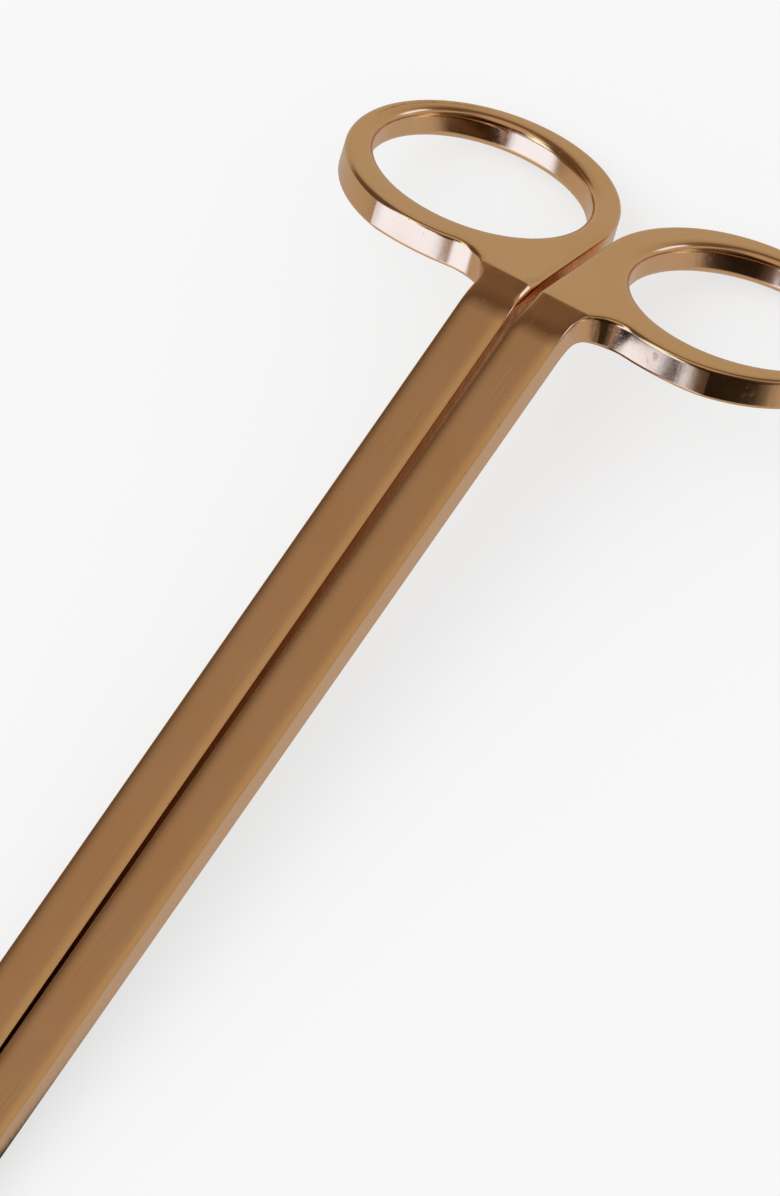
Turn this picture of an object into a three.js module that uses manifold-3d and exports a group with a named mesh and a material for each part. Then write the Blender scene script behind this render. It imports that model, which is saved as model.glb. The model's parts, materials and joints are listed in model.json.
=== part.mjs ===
// Wick trimmer: two long levers with finger rings, crossing at a raised head that carries
// two shearing blades and a tray for the cut wick.
//
// Millimetres, +Z up. The object lies as it does on a table: on the far ends of its finger
// rings and on the underside of its bars where the head turns up. Its origin is the middle
// of its footprint, +Y runs from the blades to the rings, and +X is the thumb ring's side.
import * as THREE from 'three';
import { mergeVertices } from 'three/addons/utils/BufferGeometryUtils.js';
import Module from 'manifold-3d';

const wasm = await Module();
wasm.setup();

// ---- driving dimensions -------------------------------------------------------------------

const plateThickness = 3.5;    // bars and finger rings
const barWidth = 5.0;
const barLength = 120.5;       // straight run, from the head bend to the ring bend
const barHalfGap = 0.25;       // from the centre line to each bar, at the head bend
const barSplay = THREE.MathUtils.degToRad(0.13);   // each bar leans outwards by this

const bandAngle = THREE.MathUtils.degToRad(15.5);  // short flat between bar and ring
const ringAngle = THREE.MathUtils.degToRad(36.7);  // finger rings, below the bars' plane
const bandLength = 5.0;        // from the start of the soft bend to the crease
const softBendRadius = 6.0;    // top face of the bend from bar to band

const headAngle = THREE.MathUtils.degToRad(45);    // head plane, above the bars' plane
const headBendRadius = 3.0;    // top face, inside the bend
const headStub = 2.0;          // full-thickness end of each bar past the head bend

const ringRadius = 14.2;       // outside of a finger ring
const ringCentre = { x: 14.6, y: 14.9 };           // from the centre line and the crease
const fingerHole = { x: 15.3, y: 15.5, long: 11.6, short: 10.9 };
const fingerHoleTurn = THREE.MathUtils.degToRad(18);
const fingerHoleAside = 0.4;   // both holes sit this far towards the thumb ring's side
const creaseHalfGap = 1.1;     // between the two rings' necks at the crease
const neckFillet = 4.0;        // concave corner from a bar's outer side into its ring
const neckStraight = 4.0;      // the necks close up to ringHalfGap over this length

const pivotDistance = 8.0;     // from the end of the head bend, along the head
const bladeThickness = 1.7;
const bladeReach = 20.5;       // pivot to blade tip
const bladeWidth = 4.8;        // at the pivot eye's end
const bladeTipRound = 1.0;
const shankTuck = 0.6;         // the shank meets the eye this far inside its outline
const cutOverlap = 0.5;        // each cutting edge passes the centre line by this
const cutStart = 0.5;          // the cutting edge starts this far past the eye
const eyeRadius = 5.0;

const trayRadius = 15.0;       // outside of the tray's round front
const trayBack = 5.2;          // pivot to the tray's open back edge
const trayFront = 23.0;        // pivot to the front of the rim
const traySheet = 0.8;
const trayDepth = 4.1;         // floor to the top of the rim
const rimDrop = 2.3;           // top of the rim, below the upper blade's top face
const rivetSpots = [7.4, 13.0];                    // from the pivot, along the lower blade
const rivetAside = 1.9;        // from the centre line
const rivetRadius = 0.8;
const rivetPadRadius = 1.8;
const rivetHead = { over: 0.7, height: 0.7, chamfer: 0.5 };

const screwRadius = 2.0;
const screwHead = { radius: 3.6, height: 1.5, chamfer: 0.5, slotWidth: 0.9, slotDepth: 0.7 };
const washer = { radius: 3.5, height: 0.5 };
const nut = { radius: 3.5, height: 1.8 };
const screwEnd = 0.5;          // thread standing out of the nut
const screwChamfer = 0.3;

const weldGap = 0.3;           // left open at each welded seam
const runningGap = 0.1;        // between faces that slide or are clamped together

const roundSides = 32;
const curveSteps = 24;
const bendSteps = 6;
const joinDistance = 1e-4;     // points closer than this are one point

const ringHalfGap = ringCentre.x - ringRadius;
const barOuter = barHalfGap + barWidth + (barLength + bandLength) * Math.tan(barSplay);

// ---- solids -------------------------------------------------------------------------------

function toSolid(geometry) {
  const bare = geometry.index ? geometry.toNonIndexed() : geometry.clone();
  for (const name of Object.keys(bare.attributes)) {
    if (name !== 'position') bare.deleteAttribute(name);
  }
  const merged = mergeVertices(bare, joinDistance);
  return new wasm.Manifold(new wasm.Mesh({
    numProp: 3,
    vertProperties: merged.attributes.position.array,
    triVerts: Uint32Array.from(merged.index.array),
  }));
}

function toGeometry(solid) {
  const mesh = solid.getMesh();
  const geometry = new THREE.BufferGeometry();
  geometry.setAttribute('position', new THREE.BufferAttribute(mesh.vertProperties, 3));
  geometry.setIndex(new THREE.BufferAttribute(mesh.triVerts, 1));
  return geometry;
}

// A curve repeats its first point where it joins the line before it: each point is kept once.
function distinct(points) {
  return points.filter((point, index) => {
    const previous = points[(index + points.length - 1) % points.length];
    return point.distanceTo(previous) > joinDistance;
  });
}

function turned(points, clockwise) {
  const clean = distinct(points);
  return THREE.ShapeUtils.isClockWise(clean) === clockwise ? clean : clean.reverse();
}

function extrude(shape, depth, steps = curveSteps) {
  const outline = shape.extractPoints(steps);
  const clean = new THREE.Shape(turned(outline.shape, false));
  clean.holes = outline.holes.map((points) => new THREE.Path(turned(points, true)));
  return new THREE.ExtrudeGeometry(clean, { depth, bevelEnabled: false, curveSegments: 1 });
}

function plate(shape, thickness, lowest) {
  return extrude(shape, thickness).translate(0, 0, lowest);
}

function uprightCylinder(radius, height, lowest, x, y, sides = roundSides) {
  const geometry = new THREE.CylinderGeometry(radius, radius, height, sides);
  return geometry.rotateX(Math.PI / 2).translate(x, y, lowest + height / 2);
}

function hole(x, y, radius) {
  return new THREE.Path().absarc(x, y, radius, 0, 2 * Math.PI, true);
}

// ---- materials ----------------------------------------------------------------------------

const roseGold = new THREE.MeshStandardMaterial({ color: 0xb98a62, roughness: 0.25, metalness: 1 });
const bladeMetal = new THREE.MeshStandardMaterial({ color: 0xbd9273, roughness: 0.2, metalness: 1 });
const fastenerMetal = new THREE.MeshStandardMaterial({ color: 0xa97c58, roughness: 0.3, metalness: 1 });

function part(name, geometry, material) {
  const mesh = new THREE.Mesh(geometry, material);
  mesh.name = name;
  return mesh;
}

// ---- bars ---------------------------------------------------------------------------------

// The crease, where band and ring meet, in the bars' frame: y along the bars, z up.
const softArc = softBendRadius * bandAngle;
const bandStraight = bandLength - softArc;
const crease = {
  y: barLength + softBendRadius * Math.sin(bandAngle) + bandStraight * Math.cos(bandAngle),
  z: -softBendRadius * (1 - Math.cos(bandAngle)) - bandStraight * Math.sin(bandAngle),
};
const mitreAngle = (bandAngle + ringAngle) / 2;
const mitreLength = plateThickness / Math.cos((ringAngle - bandAngle) / 2);

// Side view of a bar: x is along the bar and y is up.
function barProfile() {
  const quarter = Math.PI / 2;
  const headCentre = headBendRadius;
  const outerHead = headBendRadius + plateThickness;
  const innerSoft = softBendRadius - plateThickness;
  const shape = new THREE.Shape();
  shape.moveTo(crease.y, crease.z);
  shape.absarc(barLength, -softBendRadius, softBendRadius, quarter - bandAngle, quarter, false);
  shape.absarc(0, headCentre, headBendRadius, -quarter, -quarter - headAngle, true);
  const stub = { x: -headStub * Math.cos(headAngle), y: headStub * Math.sin(headAngle) };
  shape.lineTo(-headBendRadius * Math.sin(headAngle) + stub.x,
    headCentre - headBendRadius * Math.cos(headAngle) + stub.y);
  shape.lineTo(-outerHead * Math.sin(headAngle) + stub.x,
    headCentre - outerHead * Math.cos(headAngle) + stub.y);
  shape.absarc(0, headCentre, outerHead, -quarter - headAngle, -quarter, false);
  shape.absarc(barLength, -softBendRadius, innerSoft, quarter, quarter - bandAngle, true);
  shape.lineTo(crease.y - mitreLength * Math.sin(mitreAngle),
    crease.z - mitreLength * Math.cos(mitreAngle));
  return shape;
}

// side is 1 for the thumb lever, on +X, and -1 for the finger lever.
function bar(name, side) {
  const geometry = extrude(barProfile(), barWidth, bendSteps);
  geometry.applyMatrix4(new THREE.Matrix4().makeBasis(
    new THREE.Vector3(0, 1, 0), new THREE.Vector3(0, 0, 1), new THREE.Vector3(1, 0, 0)));
  geometry.translate(side > 0 ? 0 : -barWidth, 0, 0);
  const mesh = part(name, geometry, roseGold);
  mesh.position.x = side * barHalfGap;
  mesh.rotation.z = -side * barSplay;
  return mesh;
}

// ---- finger rings -------------------------------------------------------------------------

// Plan of a ring as if on +X, in its own plane: x from the centre line, y from the crease.
function ringOutline(side) {
  const below = -1;            // runs past the crease, and is trimmed to the mitre there
  const filletX = barOuter + neckFillet;
  const reach = ringRadius + neckFillet;
  const filletY = ringCentre.y - Math.sqrt(reach ** 2 - (ringCentre.x - filletX) ** 2);
  const towardsFillet = Math.atan2(filletY - ringCentre.y, filletX - ringCentre.x);
  const filletEnd = Math.PI - Math.asin((below - filletY) / neckFillet);
  const shape = new THREE.Shape();
  shape.moveTo(creaseHalfGap, below);
  shape.lineTo(creaseHalfGap, 0);
  shape.bezierCurveTo(creaseHalfGap, neckStraight / 2, ringHalfGap, neckStraight / 2,
    ringHalfGap, neckStraight);
  shape.lineTo(ringHalfGap, ringCentre.y);
  shape.absarc(ringCentre.x, ringCentre.y, ringRadius, Math.PI, towardsFillet, true);
  shape.absarc(filletX, filletY, neckFillet, towardsFillet + Math.PI, filletEnd, false);
  const finger = new THREE.Path();
  finger.absellipse(fingerHole.x + side * fingerHoleAside, fingerHole.y,
    fingerHole.long, fingerHole.short, 0, 2 * Math.PI, true, fingerHoleTurn);
  shape.holes.push(finger);
  return shape;
}

function fingerRing(name, side) {
  const solid = toSolid(plate(ringOutline(side), plateThickness, -plateThickness));
  const block = 20;
  const lean = (ringAngle - bandAngle) / 2;
  const trim = new THREE.BoxGeometry(4 * block, block, 2 * block);
  trim.translate(0, weldGap - block / 2, 0).rotateX(lean);
  let ring = solid.subtract(toSolid(trim));
  if (side < 0) ring = ring.mirror([1, 0, 0]);
  return part(name, toGeometry(ring), roseGold);
}

// ---- blades -------------------------------------------------------------------------------

// Plan of the finger lever's blade in the head's frame: x to the right seen from above with
// the tips away, y from the pivot to the tip. Its bar comes in on the right, it crosses over
// at the pivot eye, and it cuts with its right-hand edge.
function bladeOutline() {
  const shankStart = -(pivotDistance - headStub - weldGap);
  const shankInner = barHalfGap;
  const shankOuter = barHalfGap + barWidth;
  const leave = Math.asin((eyeRadius - shankTuck) / eyeRadius);
  const shape = new THREE.Shape();
  shape.moveTo(shankInner, shankStart);
  shape.lineTo(shankOuter, shankStart);
  shape.lineTo(eyeRadius, 0);
  shape.absarc(0, 0, eyeRadius, 0, Math.PI / 2 - 0.5, false);
  shape.lineTo(cutOverlap, eyeRadius + cutStart);
  shape.lineTo(cutOverlap, bladeReach - bladeTipRound);
  shape.quadraticCurveTo(cutOverlap, bladeReach, -cutOverlap, bladeReach);
  shape.bezierCurveTo(-bladeWidth * 0.75, bladeReach * 0.8, -bladeWidth, bladeReach * 0.5,
    -bladeWidth, eyeRadius * 0.5);
  shape.absarc(0, 0, eyeRadius, Math.PI - 0.28, Math.PI + leave, false);
  return shape;
}

function mirrored(shape) {
  const points = shape.extractPoints(curveSteps).shape.map((p) => new THREE.Vector2(-p.x, p.y));
  return new THREE.Shape(points.reverse());
}

function upperBlade() {
  const shape = mirrored(bladeOutline());
  shape.holes.push(hole(0, 0, screwRadius + runningGap));
  return part('upper_blade', plate(shape, bladeThickness, -bladeThickness), bladeMetal);
}

const lowerBladeBottom = -plateThickness;

function lowerBlade() {
  const shape = new THREE.Shape(bladeOutline().extractPoints(curveSteps).shape);
  shape.holes.push(hole(0, 0, screwRadius + runningGap));
  for (const y of rivetSpots) shape.holes.push(hole(-rivetAside, y, rivetRadius + runningGap));
  return part('lower_blade', plate(shape, bladeThickness, lowerBladeBottom), bladeMetal);
}

// ---- tray ---------------------------------------------------------------------------------

const trayRim = -rimDrop;
const trayFloor = trayRim - trayDepth;
const trayBottom = trayFloor - traySheet;

// A round-fronted outline with straight sides, inset from the outside by the given distance.
function trayOutline(inset, back) {
  const radius = trayRadius - inset;
  const centre = trayFront - trayRadius;
  const shape = new THREE.Shape();
  shape.moveTo(-radius, back);
  shape.lineTo(radius, back);
  shape.lineTo(radius, centre);
  shape.absarc(0, centre, radius, 0, Math.PI, false);
  return shape;
}

function tray() {
  const outside = toSolid(plate(trayOutline(0, trayBack), traySheet + trayDepth, trayBottom));
  const inside = toSolid(plate(trayOutline(traySheet, trayBack - 1), trayDepth + 1, trayFloor));
  let dish = outside.subtract(inside);
  const padTop = lowerBladeBottom - runningGap;
  for (const y of rivetSpots) {
    const padStart = trayFloor - traySheet / 2;
    const pad = uprightCylinder(rivetPadRadius, padTop - padStart, padStart, -rivetAside, y);
    const bore = uprightCylinder(rivetRadius + runningGap, trayDepth * 3, trayBottom - trayDepth,
      -rivetAside, y);
    dish = dish.add(toSolid(pad)).subtract(toSolid(bore));
  }
  return part('debris_tray', toGeometry(dish), roseGold);
}

// ---- fasteners ----------------------------------------------------------------------------

function lathe(profile) {
  const points = profile.map(([radius, height]) => new THREE.Vector2(radius, height));
  return new THREE.LatheGeometry(points, roundSides).rotateX(Math.PI / 2);
}

const washerBottom = lowerBladeBottom - runningGap - washer.height;
const nutBottom = washerBottom - runningGap - nut.height;

// Head on top, a plain shank through both blades, the end standing out of the nut.
function pivotScrew() {
  const headBottom = runningGap;
  const end = nutBottom - screwEnd;
  const top = headBottom + screwHead.height;
  const body = lathe([
    [0, end], [screwRadius - screwChamfer, end], [screwRadius, end + screwChamfer],
    [screwRadius, headBottom], [screwHead.radius, headBottom],
    [screwHead.radius, top - screwHead.chamfer], [screwHead.radius - screwHead.chamfer, top],
    [0, top],
  ]);
  const slot = new THREE.BoxGeometry(screwHead.radius * 3, screwHead.slotWidth, 2 * screwHead.slotDepth);
  slot.translate(0, 0, top);
  return part('pivot_screw', toGeometry(toSolid(body).subtract(toSolid(slot))), fastenerMetal);
}

function pivotWasher() {
  const shape = new THREE.Shape().absarc(0, 0, washer.radius, 0, 2 * Math.PI, false);
  shape.holes.push(hole(0, 0, screwRadius + runningGap));
  return part('pivot_washer', plate(shape, washer.height, washerBottom), fastenerMetal);
}

function pivotNut() {
  const shape = new THREE.Shape();
  for (let corner = 0; corner < 6; corner += 1) {
    const angle = (corner * Math.PI) / 3;
    const x = nut.radius * Math.cos(angle);
    const y = nut.radius * Math.sin(angle);
    if (corner === 0) shape.moveTo(x, y);
    else shape.lineTo(x, y);
  }
  shape.holes.push(hole(0, 0, screwRadius + runningGap));
  return part('pivot_nut', plate(shape, nut.height, nutBottom), fastenerMetal);
}

// A low round head under the tray; the other end is set just below the blade's sliding face.
function trayRivet(name, y) {
  const headRadius = rivetRadius + rivetHead.over;
  const top = lowerBladeBottom + bladeThickness - runningGap;
  const bottom = trayBottom - runningGap;
  const lowest = bottom - rivetHead.height;
  const geometry = lathe([
    [0, lowest], [headRadius - rivetHead.chamfer, lowest], [headRadius, lowest + rivetHead.chamfer],
    [headRadius, bottom], [rivetRadius, bottom], [rivetRadius, top], [0, top],
  ]);
  return part(name, geometry.translate(-rivetAside, y, 0), fastenerMetal);
}

// ---- assembly -----------------------------------------------------------------------------

// The rings' plane starts at the crease and the head's plane at the pivot.
const rings = new THREE.Group();
rings.position.set(0, crease.y, crease.z);
rings.rotation.x = -ringAngle;
rings.add(fingerRing('left_finger_ring', -1), fingerRing('right_finger_ring', 1));

const head = new THREE.Group();
head.position.set(0,
  -headBendRadius * Math.sin(headAngle) - pivotDistance * Math.cos(headAngle),
  headBendRadius * (1 - Math.cos(headAngle)) + pivotDistance * Math.sin(headAngle));
head.rotation.set(-headAngle, 0, Math.PI);
head.add(upperBlade(), lowerBlade(), tray(), pivotScrew(), pivotWasher(), pivotNut());
rivetSpots.forEach((y, index) => head.add(trayRivet(`tray_rivet_${index + 1}`, y)));

const trimmer = new THREE.Group();
trimmer.add(bar('left_arm', -1), bar('right_arm', 1), rings, head);

// Lying on a table: the bars' undersides and the rings' far lower edges touch it together.
const ringFar = ringCentre.y + ringRadius;
const farLow = {
  y: crease.y + ringFar * Math.cos(ringAngle) - plateThickness * Math.sin(ringAngle),
  z: crease.z - ringFar * Math.sin(ringAngle) - plateThickness * Math.cos(ringAngle),
};
const restTilt = Math.atan2(-plateThickness - farLow.z, farLow.y);
trimmer.rotation.x = restTilt;

const object = new THREE.Group();
object.add(trimmer);
object.updateMatrixWorld(true);
const bounds = new THREE.Box3().setFromObject(object, true);
trimmer.position.set(
  -(bounds.min.x + bounds.max.x) / 2,
  -(bounds.min.y + bounds.max.y) / 2,
  -bounds.min.z);

export default object;
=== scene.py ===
"""A rose-gold wick trimmer: flat levers with finger rings, crossing blades and a wick tray.

Run as a script, it registers its own operators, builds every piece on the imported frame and
lights it in a small studio. All lengths are metres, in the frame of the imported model.
"""
import json
import math

import bmesh
import bpy
from bpy.props import FloatProperty, FloatVectorProperty, PointerProperty
from mathutils import Matrix, Vector

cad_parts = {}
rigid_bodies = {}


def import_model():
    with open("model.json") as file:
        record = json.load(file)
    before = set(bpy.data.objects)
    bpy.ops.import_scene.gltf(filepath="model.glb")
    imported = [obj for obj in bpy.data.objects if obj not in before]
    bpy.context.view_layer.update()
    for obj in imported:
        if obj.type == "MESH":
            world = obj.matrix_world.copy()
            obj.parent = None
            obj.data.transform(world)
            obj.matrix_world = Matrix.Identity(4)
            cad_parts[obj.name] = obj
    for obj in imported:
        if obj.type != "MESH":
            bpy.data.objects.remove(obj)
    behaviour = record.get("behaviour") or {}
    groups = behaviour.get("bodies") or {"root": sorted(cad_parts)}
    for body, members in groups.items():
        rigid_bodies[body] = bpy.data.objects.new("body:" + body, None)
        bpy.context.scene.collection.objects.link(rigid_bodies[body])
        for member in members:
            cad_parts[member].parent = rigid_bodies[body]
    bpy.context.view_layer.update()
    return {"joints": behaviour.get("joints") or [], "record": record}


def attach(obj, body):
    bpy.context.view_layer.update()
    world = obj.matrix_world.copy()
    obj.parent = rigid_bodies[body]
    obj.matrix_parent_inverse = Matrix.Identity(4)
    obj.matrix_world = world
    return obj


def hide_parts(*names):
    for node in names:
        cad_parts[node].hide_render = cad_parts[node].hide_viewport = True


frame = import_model()

bl_info = {
    "name": "Wick Trimmer",
    "version": (1, 0, 0),
    "blender": (4, 5, 0),
    "location": "View3D > Sidebar > Wick Trimmer",
    "description": "Builds a rose-gold wick trimmer on its packed frame",
    "category": "Object",
}

# ---- what the frame says ------------------------------------------------------------------

PIVOT_JOINT = frame["joints"][0]
PIVOT = Vector(PIVOT_JOINT["pos_m"])
HEAD_UP = -Vector(PIVOT_JOINT["axis"]).normalized()
FIXED_LEVER = PIVOT_JOINT["parent"]
MOVING_LEVER = PIVOT_JOINT["child"]
BAR_TOP = next(m for m in frame["record"]["mounts"] if m["name"] == "right_arm_top")
REST_TILT = math.asin(-Vector(BAR_TOP["axis"]).normalized().y)
HEAD_LEAN = math.atan2(HEAD_UP.y, HEAD_UP.z)
LEVERS = {-1: ("left", FIXED_LEVER), 1: ("right", MOVING_LEVER)}

MM = 0.001


# ---- sizes and colours --------------------------------------------------------------------


def length(name, text, mm):
    return FloatProperty(name=name, description=text, default=mm * MM, unit="LENGTH", precision=5)


def angle(name, text, degrees):
    return FloatProperty(name=name, description=text, default=math.radians(degrees),
                         unit="ROTATION")


def colour(name, text, rgb):
    return FloatVectorProperty(name=name, description=text, default=rgb, size=3,
                               subtype="COLOR", min=0.0, max=1.0)


def number(name, text, value):
    return FloatProperty(name=name, description=text, default=value)


class TrimmerSizes(bpy.types.PropertyGroup):
    """Sizes of the levers, blades, tray and fasteners."""

    plate_thickness: length("Plate Thickness", "Bars and finger rings", 3.5)
    bar_width: length("Bar Width", "Width of each bar", 5.13)
    bar_length: length("Bar Length", "Straight run between the two bends", 119.68)
    bar_half_gap: length("Bar Gap", "Centre line to a bar at the head", 0.12)
    bar_splay: angle("Bar Splay", "Outward lean of each bar's outer side", 0.13)
    bar_edge: length("Bar Edge", "Rounding along a bar's edges", 0.22)
    bar_crown: length("Bar Crown", "Strip along a bar's edges that falls away gently", 1.3)
    band_angle: angle("Band Angle", "Short flat between bar and ring", 15.5)
    ring_angle: angle("Ring Angle", "Finger rings below the bars", 36.7)
    band_length: length("Band Length", "Start of the soft bend to the crease", 5.81)
    soft_bend: length("Soft Bend", "Top radius of the bend into the band", 12.0)
    head_angle: angle("Head Angle", "Head above the bars", 45.0)
    head_bend: length("Head Bend", "Top radius of the bend into the head", 3.0)
    head_stub: length("Head Stub", "Full-thickness bar past the bend", 2.0)
    weld_gap: length("Weld Gap", "Seam between bar and blade", 0.3)

    ring_radius: length("Ring Radius", "Outside of a finger ring", 14.2)
    ring_centre_x: length("Ring Centre X", "From the centre line", 14.6)
    ring_centre_y: length("Ring Centre Y", "From the crease", 14.9)
    hole_x: length("Finger Hole X", "From the centre line", 15.3)
    hole_aside: length("Finger Hole Aside", "Both holes, towards the thumb ring's side", 0.4)
    hole_y: length("Finger Hole Y", "From the crease", 15.5)
    hole_long: length("Finger Hole Long", "Long half-width of the finger hole", 11.6)
    hole_short: length("Finger Hole Short", "Short half-width of the finger hole", 10.9)
    hole_turn: angle("Finger Hole Turn", "Turn of the finger hole's long axis", 18.0)
    ring_edge: length("Ring Edge", "Rounding round the outside of a ring", 0.5)
    ring_crown: length("Ring Crown", "Strip round a ring's edges that falls away gently", 0.45)
    hole_edge: length("Finger Hole Edge", "Rounding inside a finger hole", 0.95)
    pocket_edge: length("Pocket Edge", "Rounding between band and ring, inside", 0.95)
    neck_fillet: length("Neck Fillet", "Concave corner from bar to ring", 4.0)

    pivot_distance: length("Pivot Distance", "End of the head bend to the pivot", 8.0)
    blade_thickness: length("Blade Thickness", "Each blade and its eye", 1.7)
    blade_reach: length("Blade Reach", "Pivot to blade tip", 20.5)
    blade_width: length("Blade Width", "Blade at the pivot eye's end", 4.8)
    blade_edge: length("Blade Edge", "Rounding of the blade's edges", 0.12)
    cut_overlap: length("Cut Overlap", "Cutting edge past the centre line", 0.5)
    ground_width: length("Ground Width", "Ground facet along the cutting edge", 1.5)
    eye_radius: length("Eye Radius", "Pivot eye", 5.0)

    tray_radius: length("Tray Radius", "Outside of the tray's round front", 15.0)
    tray_back: length("Tray Back", "Pivot to the open back edge", 5.2)
    tray_front: length("Tray Front", "Pivot to the front of the rim", 23.0)
    tray_sheet: length("Tray Sheet", "Sheet thickness", 0.8)
    tray_depth: length("Tray Depth", "Floor to the top of the rim", 4.1)
    rim_drop: length("Rim Drop", "Rim below the upper blade's top face", 2.3)
    rivet_radius: length("Rivet Radius", "Shank of a tray rivet", 0.8)
    rivet_aside: length("Rivet Aside", "Rivet to the centre line", 1.9)
    rivet_near: length("Near Rivet", "Pivot to the first rivet", 7.4)
    rivet_far: length("Far Rivet", "Pivot to the second rivet", 13.0)
    rivet_head: length("Rivet Head", "Height of a rivet's head, and how far it overhangs", 0.7)
    pad_radius: length("Pad Radius", "Raised pad under a rivet", 1.8)

    screw_radius: length("Screw Radius", "Shank of the pivot screw", 2.0)
    screw_head: length("Screw Head", "Radius of the pivot screw's head", 3.6)
    screw_head_height: length("Screw Head Height", "Height of the head", 1.5)
    slot_width: length("Slot Width", "Driver slot", 0.9)
    slot_depth: length("Slot Depth", "Driver slot", 0.7)
    screw_end: length("Screw End", "Thread standing out of the nut", 0.5)
    thread_pitch: length("Thread Pitch", "Pivot screw's thread", 0.35)
    washer_radius: length("Washer Radius", "Outside of the washer", 3.5)
    washer_height: length("Washer Height", "Thickness of the washer", 0.5)
    nut_radius: length("Nut Radius", "Corner to the middle of the nut", 3.5)
    nut_height: length("Nut Height", "Height of the nut", 1.8)
    running_gap: length("Running Gap", "Between clamped and sliding faces", 0.1)


class TrimmerFinish(bpy.types.PropertyGroup):
    """Colours and surface values of the plating."""

    plating: colour("Plating", "Rose-gold plating on the levers", (0.84, 0.475, 0.215))
    plating_pale: colour("Pale Plating", "Where the polish is thinner", (0.87, 0.53, 0.31))
    blade_tone: colour("Blade", "Plated blade steel", (0.82, 0.57, 0.41))
    ground_tone: colour("Ground Edge", "Freshly ground cutting facet", (0.80, 0.72, 0.66))
    fastener_tone: colour("Fasteners", "Screw, nut and rivets", (0.76, 0.49, 0.32))
    gloss: number("Gloss Roughness", "Roughness of the polished plating", 0.13)
    scratch_scale: number("Scratch Scale", "Fine scratches to a metre", 900.0)
    scratch_haze: number("Scratch Haze", "Roughness added by a scratch", 0.10)
    scratch_depth: length("Scratch Depth", "Depth of a scratch", 0.002)
    speck_scale: number("Speck Scale", "Pits in the plating to a metre", 2600.0)
    speck_haze: number("Speck Haze", "Roughness added by a pit", 0.25)
    speck_depth: length("Speck Depth", "Depth of a pit", 0.006)
    streak_scale: number("Streak Scale", "Polishing streaks to a metre", 1500.0)
    streak_haze: number("Streak Haze", "Roughness added by a streak", 0.10)
    streak_depth: length("Streak Depth", "Depth of the streaks on the side walls", 0.03)
    polish_scale: number("Polish Scale", "Waves left by hand polishing to a metre", 90.0)
    polish_depth: length("Polish Depth", "Depth of the polishing waves", 0.03)


class TrimmerStudio(bpy.types.PropertyGroup):
    """The camera, floor and lights."""

    azimuth: angle("Azimuth", "Camera round the object, from the blades' side", 34.3)
    elevation: angle("Elevation", "Camera above the floor", 56.1)
    roll: angle("Roll", "Camera about its own line of sight", -1.92)
    distance: FloatProperty(name="Distance", description="Camera to what it looks at",
                            default=3.0, unit="LENGTH")
    view_height: length("View Height", "What the picture's height covers", 118.2)
    aim_right: length("Aim Right", "Crease to the middle of the picture, across", 14.5)
    aim_up: length("Aim Up", "Crease to the middle of the picture, upwards", 30.65)
    floor_half: FloatProperty(name="Floor Half", description="Half the floor's side",
                              default=3.0, unit="LENGTH")
    floor_tone: colour("Floor", "Pale studio floor", (0.915, 0.915, 0.915))
    floor_glow: number("Floor Glow", "Share of the floor's light that is its own", 0.72)
    key_azimuth: angle("Key Azimuth", "Key light round the object, from the blades' side", -40.0)
    key_elevation: angle("Key Elevation", "Key light above the floor", 60.0)
    key_distance: FloatProperty(name="Key Distance", description="Key light to the object",
                                default=1.2, unit="LENGTH")
    key_size: FloatProperty(name="Key Size", description="Side of the square key light",
                            default=0.9, unit="LENGTH")
    key_power: number("Key Power", "Watts of the key light", 4.0)


def sizes():
    return bpy.context.scene.trimmer_sizes


def finish():
    return bpy.context.scene.trimmer_finish


def studio():
    return bpy.context.scene.trimmer_studio


# ---- places -------------------------------------------------------------------------------


def head_matrix():
    """Pivot frame: x to the finger side, y from the pivot to the tips, z out of the blades."""
    turn = Matrix.Rotation(-HEAD_LEAN, 4, "X") @ Matrix.Rotation(math.pi, 4, "Z")
    return Matrix.Translation(PIVOT) @ turn


def bar_matrix(s):
    """Bars' frame: y along the bars from the head bend, z out of their top faces."""
    tilt = Matrix.Rotation(REST_TILT, 4, "X")
    lead, rise = math.sin(s.head_angle), math.cos(s.head_angle)
    pivot = Vector((0.0, -s.head_bend * lead - s.pivot_distance * rise,
                    s.head_bend * (1.0 - rise) + s.pivot_distance * lead))
    return Matrix.Translation(PIVOT - tilt @ pivot) @ tilt


def crease_station(s):
    """Along the flat plate, where the band meets the finger ring."""
    return s.bar_length + s.band_length


def step(low, high, value):
    """0 below low, 1 above high, and smooth between them."""
    t = min(1.0, max(0.0, (value - low) / (high - low)))
    return t * t * (3.0 - 2.0 * t)


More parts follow.
